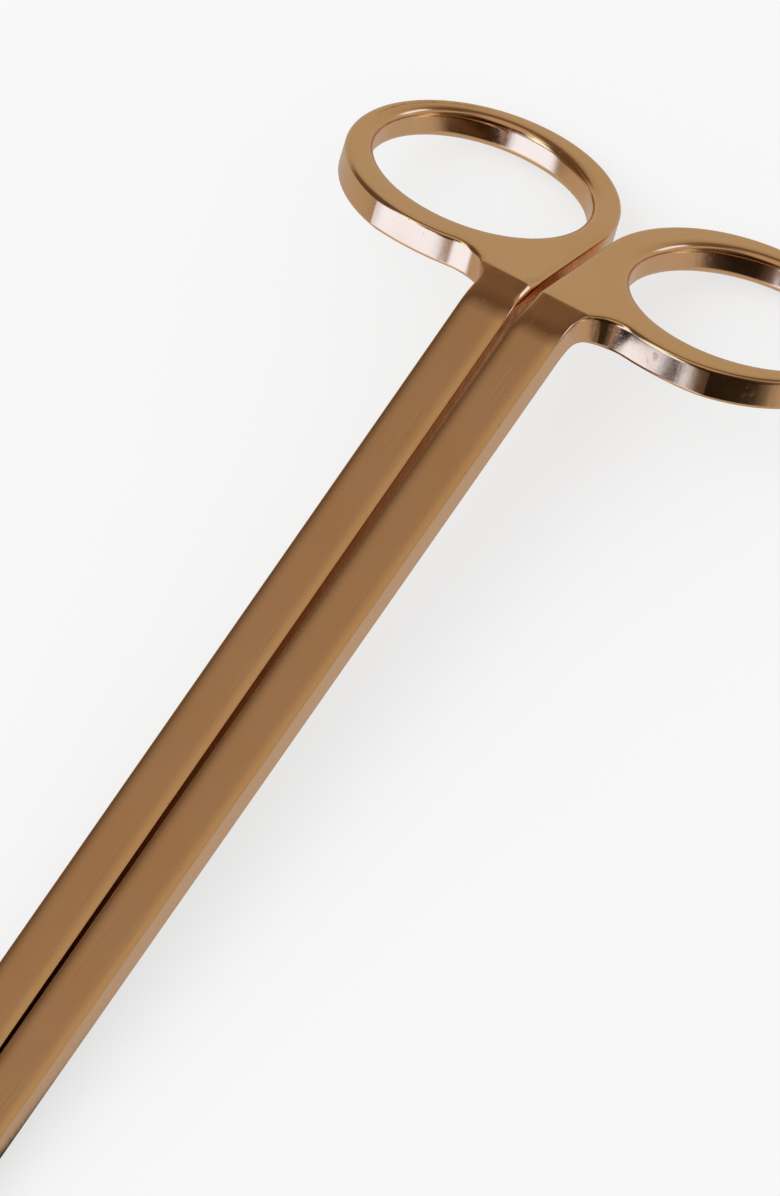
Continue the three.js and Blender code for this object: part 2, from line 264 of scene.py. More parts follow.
class Fold:
    """Side view of a lever: turns a station along the flat plate and a depth into y and z."""

    CREASE_ROUND = 0.13 * MM
    CREASE_DROP = CREASE_ROUND * 0.09
    MITRE_REACH = 1.6 * MM
    BEND_STEPS = 10

    def __init__(self, s):
        self.s = s
        self.head_arc = s.head_bend * s.head_angle
        self.soft_arc = s.soft_bend * s.band_angle
        self.crease = crease_station(s)
        self.crease_y, self.crease_z = self.top(self.crease)[:2]

    def top(self, at):
        """y, z and downward lean of the top face at a station."""
        s = self.s
        if at < -self.head_arc:
            run = -self.head_arc - at
            lean = s.head_angle
            return (-s.head_bend * math.sin(lean) - run * math.cos(lean),
                    s.head_bend * (1.0 - math.cos(lean)) + run * math.sin(lean), lean)
        if at < 0.0:
            lean = -at / s.head_bend
            return -s.head_bend * math.sin(lean), s.head_bend * (1.0 - math.cos(lean)), lean
        if at < s.bar_length:
            return at, 0.0, 0.0
        lean = min(s.band_angle, (at - s.bar_length) / s.soft_bend)
        y = s.bar_length + s.soft_bend * math.sin(lean)
        z = -s.soft_bend * (1.0 - math.cos(lean))
        run = min(at, self.crease) - s.bar_length - self.soft_arc
        if run > 0.0:
            y += run * math.cos(lean)
            z -= run * math.sin(lean)
        run = at - self.crease
        if run > 0.0:
            lean = s.ring_angle
            y += run * math.cos(lean)
            z -= run * math.sin(lean)
        return y, z, lean

    def place(self, at, depth):
        """Depth is below the top face, and is measured square to it."""
        s = self.s
        y, z, lean = self.top(at)
        off = at - self.crease
        if abs(off) < self.MITRE_REACH:
            middle = (s.band_angle + s.ring_angle) / 2.0
            own = s.band_angle if off <= 0.0 else s.ring_angle
            share = 1.0 - abs(off) / self.MITRE_REACH
            line = own + (middle - own) * share
            stretch = 1.0 / math.cos(line - own)
            if abs(off) < self.CREASE_ROUND * 0.5:
                y -= self.CREASE_DROP * math.sin(middle)
                z -= self.CREASE_DROP * math.cos(middle)
            return y - depth * stretch * math.sin(line), z - depth * stretch * math.cos(line)
        return y - depth * math.sin(lean), z - depth * math.cos(lean)

    def stations(self):
        """Where the flat plate is cut across so that it can bend."""
        shares = spread(0.0, 1.0, self.BEND_STEPS)
        cuts = [-self.head_arc * share for share in shares]
        cuts += [self.s.bar_length + self.soft_arc * share for share in shares]
        for off in (self.CREASE_ROUND, self.MITRE_REACH / 2.0, self.MITRE_REACH):
            cuts += [self.crease - off, self.crease + off]
        return cuts + [self.crease]


# ---- mesh tools ---------------------------------------------------------------------------


QUARTER = math.pi / 2.0


def spread(start, end, count):
    """Evenly spaced numbers, both ends included."""
    return [start + (end - start) * k / count for k in range(count + 1)]


def arc(centre, radius, start, end, count):
    """Points on an arc, both ends included."""
    return [Vector((centre[0] + radius * math.cos(a), centre[1] + radius * math.sin(a)))
            for a in spread(start, end, count)]


def curve_point(controls, t):
    """A point on the smooth curve that starts and ends at the outer control points."""
    while len(controls) > 1:
        controls = [a.lerp(b, t) for a, b in zip(controls, controls[1:])]
    return controls[0]


def run_to(points, target, spacing):
    """Goes straight on to a point, with points on the way."""
    start = points[-1]
    count = max(1, round((target - start).length / spacing))
    points += [start.lerp(target, k / count) for k in range(1, count + 1)]


def distinct(points, least=1e-6):
    """A closed outline without points that repeat."""
    kept = []
    for point in points:
        if not kept or (point - kept[-1]).length > least:
            kept.append(point)
    if (kept[0] - kept[-1]).length <= least:
        kept.pop()
    return kept


def area(points):
    """Positive where a closed outline runs counter-clockwise."""
    total = 0.0
    for k, point in enumerate(points):
        last = points[k - 1]
        total += last.x * point.y - point.x * last.y
    return total / 2.0


def outward(points):
    """Normals of a closed outline that runs counter-clockwise round material."""
    normals = []
    for k in range(len(points)):
        before = (points[k] - points[k - 1]).normalized()
        after = (points[(k + 1) % len(points)] - points[k]).normalized()
        along = before + after
        normals.append(Vector((along.y, -along.x)).normalized())
    return normals


def loft(bm, rows, close_rows=True, close_columns=False):
    """Quads between rows of vertices."""
    count = len(rows[0])
    pairs = list(zip(rows, rows[1:]))
    if close_columns:
        pairs.append((rows[-1], rows[0]))
    for low, high in pairs:
        for k in range(count if close_rows else count - 1):
            after = (k + 1) % count
            corners = []
            for vertex in (low[k], low[after], high[after], high[k]):
                if vertex not in corners:
                    corners.append(vertex)
            if len(corners) > 2:
                bm.faces.new(corners)


CROWN_FALL = 0.04      # how far a face falls towards its edge, per width of the falling strip
CROWN_STEPS = 6


def edge_section(radius, crown, steps):
    """Half of an edge's section, from the flat face out: (inset, drop) pairs. The face first
    falls away gently over the crown's width, then turns down round the edge."""
    fall = crown * CROWN_FALL
    section = [(radius + crown * (1.0 - t), fall * t ** 3)
               for t in spread(0.0, 1.0, CROWN_STEPS)[:-1]]
    section += [(radius * (1.0 - math.sin(a)), fall + radius * (1.0 - math.cos(a)))
                for a in spread(0.0, QUARTER, steps)]
    return section


def edge_rows(bm, points, normals, shapes, thickness, steps):
    """The wall under an outline, from its top face's rim to its bottom face's. shapes holds
    the rounding radius and crown width at each point."""
    sections = [edge_section(radius, crown, steps) for radius, crown in shapes]
    rows = []
    for lower in (False, True):
        order = range(CROWN_STEPS + steps + 1)
        for k in reversed(order) if lower else order:
            row = []
            for point, normal, section in zip(points, normals, sections):
                inset, drop = section[k]
                flat = point - normal * inset
                row.append(bm.verts.new((flat.x, flat.y, drop - thickness if lower else -drop)))
            rows.append(row)
    loft(bm, rows)
    return rows[0], rows[-1]


def ring_edges(bm, row):
    """The edges round a closed row of vertices."""
    return [bm.edges.get((row[k], row[k - 1])) or bm.edges.new((row[k], row[k - 1]))
            for k in range(len(row))]


def rounded_plate(outline, holes, thickness, steps):
    """A flat plate with rounded edges: its top face is at z = 0. Each outline comes as its
    points and, for each of them, the edge's rounding radius and crown width."""
    bm = bmesh.new()
    top, bottom = [], []
    for index, (points, shapes) in enumerate([outline] + holes):
        hollow = index > 0
        if (area(points) < 0.0) != hollow:
            points, shapes = points[::-1], shapes[::-1]
        upper, lower = edge_rows(bm, points, outward(points), shapes, thickness, steps)
        top += ring_edges(bm, upper)
        bottom += ring_edges(bm, lower)
    bmesh.ops.triangle_fill(bm, edges=top, use_beauty=True, normal=(0.0, 0.0, 1.0))
    bmesh.ops.triangle_fill(bm, edges=bottom, use_beauty=True, normal=(0.0, 0.0, -1.0))
    return bm


def cut_across(bm, stations, direction=Vector((0.0, 1.0, 0.0))):
    """Adds a row of vertices across the plate at each station along a direction."""
    for at in stations:
        geometry = bm.verts[:] + bm.edges[:] + bm.faces[:]
        bmesh.ops.bisect_plane(bm, geom=geometry, dist=1e-8, plane_co=direction * at,
                               plane_no=direction)


def lathe(bm, profile, sides):
    """Turns (radius, height) points round z. Points on the axis become one vertex."""
    rows = []
    turn = 2.0 * math.pi / sides
    for radius, height in profile:
        if radius == 0.0:
            rows.append([bm.verts.new((0.0, 0.0, height))] * sides)
        else:
            rows.append([bm.verts.new((radius * math.cos(k * turn), radius * math.sin(k * turn),
                                       height)) for k in range(sides)])
    loft(bm, rows, close_columns=profile[0][0] > 0.0)


def soft_profile(corners, radius, steps=4):
    """Rounds the inner corners of an open profile of (radius, height) points."""
    points = [Vector(corner) for corner in corners]
    soft = [points[0]]
    for before, here, after in zip(points, points[1:], points[2:]):
        a, b = (before - here).normalized(), (after - here).normalized()
        reach = min(radius, (before - here).length * 0.45, (after - here).length * 0.45)
        controls = [here + a * reach, here, here + b * reach]
        soft += [curve_point(controls, t) for t in spread(0.0, 1.0, steps)]
    soft.append(points[-1])
    return [(p.x, p.y) for p in soft]


def finished_mesh(name, bm, matrix=Matrix.Identity(4), weld=1e-8):
    """Cleans a mesh, puts it in its place and turns its faces outwards."""
    bmesh.ops.remove_doubles(bm, verts=bm.verts, dist=weld)
    bmesh.ops.dissolve_degenerate(bm, edges=bm.edges, dist=weld)
    bm.transform(matrix)
    bmesh.ops.recalc_face_normals(bm, faces=bm.faces)
    mesh = bpy.data.meshes.new(name)
    bm.to_mesh(mesh)
    bm.free()
    return mesh


def add_object(name, data):
    """Puts data in the scene, at the origin."""
    obj = bpy.data.objects.new(name, data)
    bpy.context.scene.collection.objects.link(obj)
    return obj


def evaluated_mesh(obj):
    """What an object's modifiers make of it, as a plain mesh. The object is removed."""
    graph = bpy.context.evaluated_depsgraph_get()
    made = bpy.data.meshes.new_from_object(obj.evaluated_get(graph))
    bpy.data.objects.remove(obj)
    return made


def piece(name, mesh, material, body, nodes, sharp=40.0, even_shading=True):
    """Puts a finished mesh in the scene, smooth but for its sharp corners."""
    mesh.shade_smooth()
    mesh.set_sharp_from_angle(angle=math.radians(sharp))
    obj = add_object(name, mesh)
    if not mesh.materials:
        mesh.materials.append(material)
    if even_shading:
        shade = obj.modifiers.new("Even Shading", "WEIGHTED_NORMAL")
        shade.mode = "FACE_AREA"
        shade.weight = 80
        shade.keep_sharp = True
    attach(obj, body)
    if nodes:
        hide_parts(*nodes)
    return obj


# ---- shader node groups -------------------------------------------------------------------


def link(tree, source, target):
    tree.links.new(source, target)


def node(tree, kind, **values):
    made = tree.nodes.new(kind)
    for key, value in values.items():
        setattr(made, key, value)
    return made


def shader_group(name, inputs, outputs):
    tree = bpy.data.node_groups.new(name, "ShaderNodeTree")
    for label, kind, default in inputs:
        socket = tree.interface.new_socket(label, in_out="INPUT", socket_type=kind)
        if default is not None:
            socket.default_value = default
    for label, kind in outputs:
        tree.interface.new_socket(label, in_out="OUTPUT", socket_type=kind)
    return tree, node(tree, "NodeGroupInput"), node(tree, "NodeGroupOutput")


FLOAT, VECTOR = "NodeSocketFloat", "NodeSocketVector"


def maths(tree, operation, first, second=None, third=None, clamp=False):
    """One step of arithmetic on sockets or plain numbers."""
    made = node(tree, "ShaderNodeMath", operation=operation, use_clamp=clamp)
    for index, value in enumerate((first, second, third)):
        if value is None:
            continue
        if isinstance(value, (int, float)):
            made.inputs[index].default_value = value
        else:
            link(tree, value, made.inputs[index])
    return made.outputs[0]


def split(tree, vector):
    """The X, Y and Z outputs of a vector."""
    made = node(tree, "ShaderNodeSeparateXYZ")
    link(tree, vector, made.inputs["Vector"])
    return made.outputs


def mapped(tree, source, scale, rotation=(0.0, 0.0, 0.0)):
    made = node(tree, "ShaderNodeMapping")
    made.inputs["Scale"].default_value = scale
    made.inputs["Rotation"].default_value = rotation
    link(tree, source, made.inputs["Vector"])
    return made.outputs["Vector"]


def noise(tree, vector, scale, detail=2.0, rough=0.5):
    made = node(tree, "ShaderNodeTexNoise")
    made.inputs["Detail"].default_value = detail
    made.inputs["Roughness"].default_value = rough
    link(tree, vector, made.inputs["Vector"])
    if isinstance(scale, (int, float)):
        made.inputs["Scale"].default_value = scale
    else:
        link(tree, scale, made.inputs["Scale"])
    return made.outputs["Fac"]


def ramp(tree, value, low, high, to_low=0.0, to_high=1.0):
    """A smooth change from to_low, at low, to to_high, at high."""
    made = node(tree, "ShaderNodeMapRange", interpolation_type="SMOOTHSTEP")
    made.inputs["From Min"].default_value = low
    made.inputs["From Max"].default_value = high
    made.inputs["To Min"].default_value = to_low
    made.inputs["To Max"].default_value = to_high
    link(tree, value, made.inputs["Value"])
    return made.outputs["Result"]


# Each set of scratches: lean, shrink along their length, and how few there are (noise level).
SCRATCH_SETS = ((0.5, 0.035, 0.655), (-0.85, 0.05, 0.67), (1.35, 0.03, 0.675))


def scratches_group():
    """Sparse hairline scratches in three leaning directions."""
    tree, inside, out = shader_group("Hairline Scratches", [
        ("Vector", VECTOR, None), ("Scale", FLOAT, 900.0)], [("Mask", FLOAT), ("Height", FLOAT)])
    total = None
    for turn, stretch, gate in SCRATCH_SETS:
        vector = mapped(tree, inside.outputs["Vector"], (1.0, stretch, 1.0), (0.0, 0.0, turn))
        line = ramp(tree, noise(tree, vector, inside.outputs["Scale"], 1.0), gate, gate + 0.05)
        total = line if total is None else maths(tree, "MAXIMUM", total, line)
    where = ramp(tree, noise(tree, inside.outputs["Vector"], 160.0, 2.0), 0.42, 0.62)
    mask = maths(tree, "MULTIPLY", total, where)
    link(tree, mask, out.inputs["Mask"])
    link(tree, maths(tree, "MULTIPLY", mask, -1.0), out.inputs["Height"])
    return tree


def specks_group():
    """Tiny pits and dust specks in the plating."""
    tree, inside, out = shader_group("Plating Specks", [
        ("Vector", VECTOR, None), ("Scale", FLOAT, 2600.0)], [("Mask", FLOAT), ("Height", FLOAT)])
    cells = node(tree, "ShaderNodeTexVoronoi", feature="F1")
    cells.inputs["Randomness"].default_value = 1.0
    link(tree, inside.outputs["Vector"], cells.inputs["Vector"])
    link(tree, inside.outputs["Scale"], cells.inputs["Scale"])
    dot = ramp(tree, cells.outputs["Distance"], 0.10, 0.24, 1.0, 0.0)
    pick = node(tree, "ShaderNodeSeparateColor")
    link(tree, cells.outputs["Color"], pick.inputs["Color"])
    few = ramp(tree, pick.outputs["Red"], 0.94, 0.96)
    mask = maths(tree, "MULTIPLY", dot, few)
    link(tree, mask, out.inputs["Mask"])
    link(tree, maths(tree, "MULTIPLY", mask, -1.0), out.inputs["Height"])
    return tree


def streaks_group():
    """Polishing streaks that run through the plate's thickness, on its side walls only."""
    tree, inside, out = shader_group("Wall Streaks", [
        ("Vector", VECTOR, None), ("Normal", VECTOR, None), ("Scale", FLOAT, 1500.0)],
        [("Mask", FLOAT), ("Height", FLOAT)])
    upright = maths(tree, "ABSOLUTE", split(tree, inside.outputs["Normal"])["Z"])
    wall = ramp(tree, upright, 0.25, 0.75, 1.0, 0.0)
    vector = mapped(tree, inside.outputs["Vector"], (1.0, 1.0, 0.02))
    fine = noise(tree, vector, inside.outputs["Scale"], 3.0, 0.65)
    broad = noise(tree, mapped(tree, inside.outputs["Vector"], (1.0, 1.0, 0.05)), 420.0, 2.0)
    both = maths(tree, "ADD", maths(tree, "MULTIPLY", fine, 0.6), maths(tree, "MULTIPLY", broad, 0.4))
    mask = maths(tree, "MULTIPLY", wall, ramp(tree, both, 0.3, 0.7, 0.45, 1.0))
    link(tree, mask, out.inputs["Mask"])
    link(tree, maths(tree, "MULTIPLY", maths(tree, "SUBTRACT", both, 0.5), wall),
         out.inputs["Height"])
    return tree


def polish_group():
    """Slow waves left in the surface by hand polishing, and the tone that goes with them."""
    tree, inside, out = shader_group("Hand Polish", [
        ("Vector", VECTOR, None), ("Scale", FLOAT, 90.0)],
        [("Tone", FLOAT), ("Haze", FLOAT), ("Height", FLOAT)])
    slow = noise(tree, inside.outputs["Vector"], inside.outputs["Scale"], 1.5, 0.4)
    haze = noise(tree, inside.outputs["Vector"], 420.0, 4.0, 0.6)
    grain = noise(tree, inside.outputs["Vector"], 5200.0, 2.0, 0.6)
    link(tree, ramp(tree, slow, 0.3, 0.7), out.inputs["Tone"])
    both = maths(tree, "ADD", maths(tree, "MULTIPLY", haze, 0.6), maths(tree, "MULTIPLY", grain, 0.4))
    link(tree, both, out.inputs["Haze"])
    link(tree, slow, out.inputs["Height"])
    return tree


GROUPS = {}


def use_group(tree, name, **values):
    makers = {"Hairline Scratches": scratches_group, "Plating Specks": specks_group,
              "Wall Streaks": streaks_group, "Hand Polish": polish_group,
              "Room Panel": panel_group}
    if name not in GROUPS:
        GROUPS[name] = makers[name]()
    made = node(tree, "ShaderNodeGroup", node_tree=GROUPS[name])
    for label, value in values.items():
        socket = made.inputs[label]
        if isinstance(value, (int, float)):
            socket.default_value = value
        else:
            link(tree, value, socket)
    return made


def bump(tree, height, distance, normal):
    made = node(tree, "ShaderNodeBump")
    made.inputs["Strength"].default_value = 1.0
    made.inputs["Distance"].default_value = distance
    link(tree, height, made.inputs["Height"])
    if normal is not None:
        link(tree, normal, made.inputs["Normal"])
    return made.outputs["Normal"]


def blend_colours(tree, factor, first, second):
    """Mixes two colours, each of them a socket or red, green and blue."""
    made = node(tree, "ShaderNodeMix", data_type="RGBA")
    link(tree, factor, made.inputs["Factor"])
    for socket, value in ((made.inputs[6], first), (made.inputs[7], second)):
        if hasattr(value, "links"):
            link(tree, value, socket)
        else:
            socket.default_value = (*value, 1.0)
    return made.outputs[2]


def new_material(name):
    """A material with nodes, its tree and its shader."""
    material = bpy.data.materials.new(name)
    material.use_nodes = True
    return material, material.node_tree, material.node_tree.nodes["Principled BSDF"]


THIN_POLISH = 0.25                         # towards the pale tone, where the polish thins
PIT_SHADE, PIT_SHARE = 0.55, 0.5           # how dark a pit is, and how much of that shows
GLOSS_LOW, GLOSS_HIGH = 0.85, 1.2          # roughness where the haze is thin and thick


def plated_metal(name, tone, pale, lean):
    """Polished plating. lean turns the pattern so that z is the plate's own normal."""
    f = finish()
    material, tree, shader = new_material(name)
    shader.inputs["Metallic"].default_value = 1.0
    where = node(tree, "ShaderNodeTexCoord")
    spot = mapped(tree, where.outputs["Object"], (1.0, 1.0, 1.0), (lean, 0.0, 0.0))
    facing = mapped(tree, node(tree, "ShaderNodeNewGeometry").outputs["Normal"],
                    (1.0, 1.0, 1.0), (lean, 0.0, 0.0))
    scratch = use_group(tree, "Hairline Scratches", Vector=spot, Scale=f.scratch_scale)
    speck = use_group(tree, "Plating Specks", Vector=spot, Scale=f.speck_scale)
    streak = use_group(tree, "Wall Streaks", Vector=spot, Normal=facing, Scale=f.streak_scale)
    polish = use_group(tree, "Hand Polish", Vector=spot, Scale=f.polish_scale)
    thin = tuple((1.0 - THIN_POLISH) * a + THIN_POLISH * b for a, b in zip(tone, pale))
    base = blend_colours(tree, polish.outputs["Tone"], tone, thin)
    base = blend_colours(tree, streak.outputs["Mask"], base, pale)
    pit = maths(tree, "MULTIPLY", speck.outputs["Mask"], PIT_SHARE)
    base = blend_colours(tree, pit, base, tuple(PIT_SHADE * a for a in tone))
    link(tree, base, shader.inputs["Base Color"])
    rough = ramp(tree, polish.outputs["Haze"], 0.3, 0.7, f.gloss * GLOSS_LOW, f.gloss * GLOSS_HIGH)
    for marks, haze in ((scratch, f.scratch_haze), (streak, f.streak_haze), (speck, f.speck_haze)):
        added = maths(tree, "MULTIPLY", marks.outputs["Mask"], haze)
        rough = maths(tree, "ADD", rough, added, clamp=marks is speck)
    link(tree, rough, shader.inputs["Roughness"])
    normal = None
    for marks, depth in ((polish, f.polish_depth), (streak, f.streak_depth),
                         (scratch, f.scratch_depth), (speck, f.speck_depth)):
        normal = bump(tree, marks.outputs["Height"], depth, normal)
    link(tree, normal, shader.inputs["Normal"])
    return material


MATERIALS = {}


def metal(name):
    """Each material is made once, when it is first asked for."""
    f = finish()
    if name not in MATERIALS:
        tones = {
            "rose_gold_bar": (f.plating, f.plating_pale, -REST_TILT),
            "rose_gold_head": (f.plating, f.plating_pale, HEAD_LEAN),
            "plated_blade": (f.blade_tone, f.ground_tone, HEAD_LEAN),
            "plated_fastener": (f.fastener_tone, f.plating_pale, HEAD_LEAN),
        }
        tone, pale, lean = tones[name]
        MATERIALS[name] = plated_metal(name, tuple(tone), tuple(pale), lean)
    return MATERIALS[name]


# ---- levers -------------------------------------------------------------------------------


# Stretches along a lever, measured from the crease towards the ring.
NECK_CLOSES = (-1.5 * MM, 3.5 * MM)
POCKET_OPENS = (-6.0 * MM, -2.6 * MM)
POCKET_CLOSES = (-2.4 * MM, 2.0 * MM)
EDGE_CHANGES = (-4.0 * MM, 3.0 * MM)       # from the bar's edge rounding to the ring's
FINE_STRETCH = (-7.0 * MM, 4.5 * MM)       # where the inner side has close points

POCKET_DEPTH = 0.12 * MM
POCKET_MIDDLE = -0.6 * MM
POCKET_FADE = (0.8 * MM, 3.2 * MM)         # from its middle, where its rounding fades out
INNER_SIDE = 2.0 * MM                      # points nearer to the centre line are on it
HEAD_CORNER = 0.35 * MM
COARSE, MEDIUM, FINE = 3.0 * MM, 1.5 * MM, 0.25 * MM
RING_STEPS, FILLET_STEPS, CORNER_STEPS, HOLE_STEPS = 110, 20, 4, 96


def inner_edge(s, at):
    """Centre line to a lever's inner side: a small pocket opens where band meets ring."""
    off = at - crease_station(s)
    bar = s.bar_half_gap + max(0.0, at) * math.tan(s.bar_splay)
    neck = s.ring_centre_x - s.ring_radius
    plain = bar + (neck - bar) * step(*NECK_CLOSES, off)
    pocket = step(*POCKET_OPENS, off) * (1.0 - step(*POCKET_CLOSES, off))
    return plain + POCKET_DEPTH * pocket


def handle_outline(s, fold, side):
    """Flat plan of a handle as if on +x: x from the centre line, y the station."""
    end = -fold.head_arc - s.head_stub - s.weld_gap / 2.0
    corner = HEAD_CORNER
    crease = crease_station(s)
    ring = Vector((s.ring_centre_x, crease + s.ring_centre_y))
    inner = Vector((inner_edge(s, end), end))
    points = arc(inner + Vector((corner, corner)), corner, -QUARTER, -math.pi, CORNER_STEPS)
    at = end + corner
    for spacing, limit in zip((COARSE, FINE), FINE_STRETCH):
        while at < crease + limit:
            at += spacing
            points.append(Vector((inner_edge(s, at), at)))
    run_to(points, Vector((points[-1].x, ring.y)), MEDIUM)
    fillet_x = inner_edge(s, crease + POCKET_OPENS[0]) + s.bar_width + s.neck_fillet
    reach = s.ring_radius + s.neck_fillet
    drop = math.sqrt(reach ** 2 - (ring.x - fillet_x) ** 2)
    fillet = Vector((fillet_x, ring.y - drop))
    towards = math.atan2(fillet.y - ring.y, fillet.x - ring.x)
    points += arc(ring, s.ring_radius, math.pi, towards, RING_STEPS)[1:]
    points += arc(fillet, s.neck_fillet, towards + math.pi, math.pi, FILLET_STEPS)[1:]
    outer_end = inner_edge(s, end) + s.bar_width
    run_to(points, Vector((outer_end, end + corner)), COARSE)
    last = Vector((outer_end - corner, end + corner))
    points += arc(last, corner, 0.0, -QUARTER, CORNER_STEPS)[1:]
    points = distinct(points)
    shapes = []
    for point in points:
        share = step(*EDGE_CHANGES, point.y - crease)
        edge = s.bar_edge + (s.ring_edge - s.bar_edge) * share
        if side < 0 and point.x < INNER_SIDE:
            near = 1.0 - step(*POCKET_FADE, abs(point.y - crease - POCKET_MIDDLE))
            edge += (s.pocket_edge - edge) * near
        shapes.append((edge, s.bar_crown + (s.ring_crown - s.bar_crown) * share))
    return points, shapes


def finger_hole(s, side):
    """The slightly oval finger opening."""
    centre = Vector((s.hole_x + side * s.hole_aside, crease_station(s) + s.hole_y))
    turn = Matrix.Rotation(s.hole_turn, 2)
    points = [centre + turn @ Vector((s.hole_long * math.cos(a), s.hole_short * math.sin(a)))
              for a in spread(0.0, 2.0 * math.pi, HOLE_STEPS)[:-1]]
    return points, [(s.hole_edge, s.ring_crown)] * len(points)


def handle_mesh(s, side):
    fold = Fold(s)
    bm = rounded_plate(handle_outline(s, fold, side), [finger_hole(s, side)],
                       s.plate_thickness, steps=6)
    cut_across(bm, fold.stations())
    for vertex in bm.verts:
        y, z = fold.place(vertex.co.y, -vertex.co.z)
        vertex.co = Vector((side * vertex.co.x, y, z))
    return finished_mesh(f"{LEVERS[side][0]}_handle", bm, bar_matrix(s))


class TRIMMER_OT_add_handles(bpy.types.Operator):
    """Make both flat bars with their bent finger rings"""

    bl_idname = "trimmer.add_handles"
    bl_label = "Add Handles"

    def execute(self, context):
        for side, (word, body) in LEVERS.items():
            piece(f"{word}_handle", handle_mesh(sizes(), side), metal("rose_gold_bar"), body,
                  (f"{word}_arm", f"{word}_finger_ring"))
        return {"FINISHED"}


# ---- blades -------------------------------------------------------------------------------


BLADE_STEP = 0.8 * MM          # between points along its straight runs
SHANK_CORNER = 0.3 * MM
SHANK_TUCK = 0.6 * MM          # the shank meets the eye this far inside its outline
TIP_ROUND = 1.0 * MM
# From the eye into the cutting edge: how far past the edge's line and past the eye.
EYE_BLEND = ((0.2 * MM, 0.4 * MM), (0.0, 0.7 * MM))
EYE_FRONT, EYE_BACK = QUARTER - 0.5, math.pi - 0.28        # where the blade leaves its eye
GROUND_DEPTH = 0.72            # taken off at the cutting edge, as a share of the thickness
GRIND_CUTS = (0.8 * MM, 2.0 * MM)
GRIND_STARTS = (0.5 * MM, 2.2 * MM)                        # past the eye, the facet fades in


def blade_outline(s):
    """Plan of the lower blade: y from the pivot to the tip, cutting with its +x edge."""
    start = -(s.pivot_distance - s.head_stub - s.weld_gap / 2.0)
    inner, outer = s.bar_half_gap, s.bar_half_gap + s.bar_width
    points = [Vector((inner, start)), Vector((outer - SHANK_CORNER, start)),
              Vector((outer, start + SHANK_CORNER))]
    run_to(points, Vector((s.eye_radius, 0.0)), BLADE_STEP)
    points += arc((0.0, 0.0), s.eye_radius, 0.0, EYE_FRONT, 18)[1:]
    points += [Vector((s.cut_overlap + aside, s.eye_radius + along)) for aside, along in EYE_BLEND]
    run_to(points, Vector((s.cut_overlap, s.blade_reach - TIP_ROUND)), BLADE_STEP)
    side_tip = Vector((-s.cut_overlap, s.blade_reach))
    tip = [points[-1], Vector((s.cut_overlap, s.blade_reach)), side_tip]
    points += [curve_point(tip, t) for t in spread(0.0, 1.0, 8)[1:]]
    back = [side_tip, Vector((-s.blade_width * 0.75, s.blade_reach * 0.8)),
            Vector((-s.blade_width, s.blade_reach * 0.5)),
            Vector((-s.blade_width, s.eye_radius * 0.5))]
    points += [curve_point(back, t) for t in spread(0.0, 1.0, 32)[1:]]
    leave = math.asin((s.eye_radius - SHANK_TUCK) / s.eye_radius)
    points += arc((0.0, 0.0), s.eye_radius, EYE_BACK, math.pi + leave, 20)
    run_to(points, points[0], BLADE_STEP)
    points = distinct(points)
    return points, [(s.blade_edge, s.blade_edge)] * len(points)


def blade_mesh(s, upper):
    """The ground facet is on the side away from the other blade."""
    around = arc((0.0, 0.0), s.screw_radius + s.running_gap, 0.0, 2.0 * math.pi, 48)[:-1]
    bm = rounded_plate(blade_outline(s), [(around, [(s.blade_edge, s.blade_edge)] * len(around))],
                       s.blade_thickness, steps=3)
    line = s.cut_overlap - s.ground_width
    cut_across(bm, [line], Vector((1.0, 0.0, 0.0)))
    cut_across(bm, [s.eye_radius + past for past in GRIND_CUTS])
    deep = s.blade_thickness * GROUND_DEPTH
    for vertex in bm.verts:
        share = (vertex.co.x - line) / s.ground_width
        share *= step(*GRIND_STARTS, vertex.co.y - s.eye_radius)
        top_share = 1.0 + vertex.co.z / s.blade_thickness
        if share > 0.0:
            vertex.co.z -= deep * share * top_share
        if upper:
            vertex.co.x = -vertex.co.x
        else:
            vertex.co.z = -s.plate_thickness - vertex.co.z
    name = "upper_blade" if upper else "lower_blade"
    return finished_mesh(name, bm, head_matrix())


class TRIMMER_OT_add_blades(bpy.types.Operator):
    """Make the two crossing blades with their pivot eyes"""

    bl_idname = "trimmer.add_blades"
    bl_label = "Add Blades"

    def execute(self, context):
        for upper, body in ((False, FIXED_LEVER), (True, MOVING_LEVER)):
            name = "upper_blade" if upper else "lower_blade"
            piece(f"{name}_ground", blade_mesh(sizes(), upper), metal("plated_blade"), body,
                  (name,), sharp=25.0)
        return {"FINISHED"}


# ---- tray ---------------------------------------------------------------------------------


TRAY_STEPS = 96
TRAY_FOOT = 1.6 * MM           # outside radius between the floor and the rim
TRAY_BEND = 0.9 * MM           # inside radius between the floor and the rim
PAD_SPREAD = 1.25              # foot of a rivet's pad, as a share of its radius
PAD_FOOT, PAD_SHOULDER = 0.05 * MM, 0.9 * MM
PAD_ROUND = 0.35 * MM


def tray_point(s, inset, share):
    """A point on the tray's round-fronted outline, moved inwards. share goes from the back
    of one side, round the front, to the back of the other."""
    centre = s.tray_front - s.tray_radius
    straight = centre - s.tray_back
    bend = math.pi * s.tray_radius
    run = share * (2.0 * straight + bend)
    radius = s.tray_radius - inset
    if run < straight:
        return Vector((radius, s.tray_back + run))
    if run > straight + bend:
        return Vector((-radius, s.tray_back + 2.0 * straight + bend - run))
    a = (run - straight) / s.tray_radius
    return Vector((radius * math.cos(a), centre + radius * math.sin(a)))


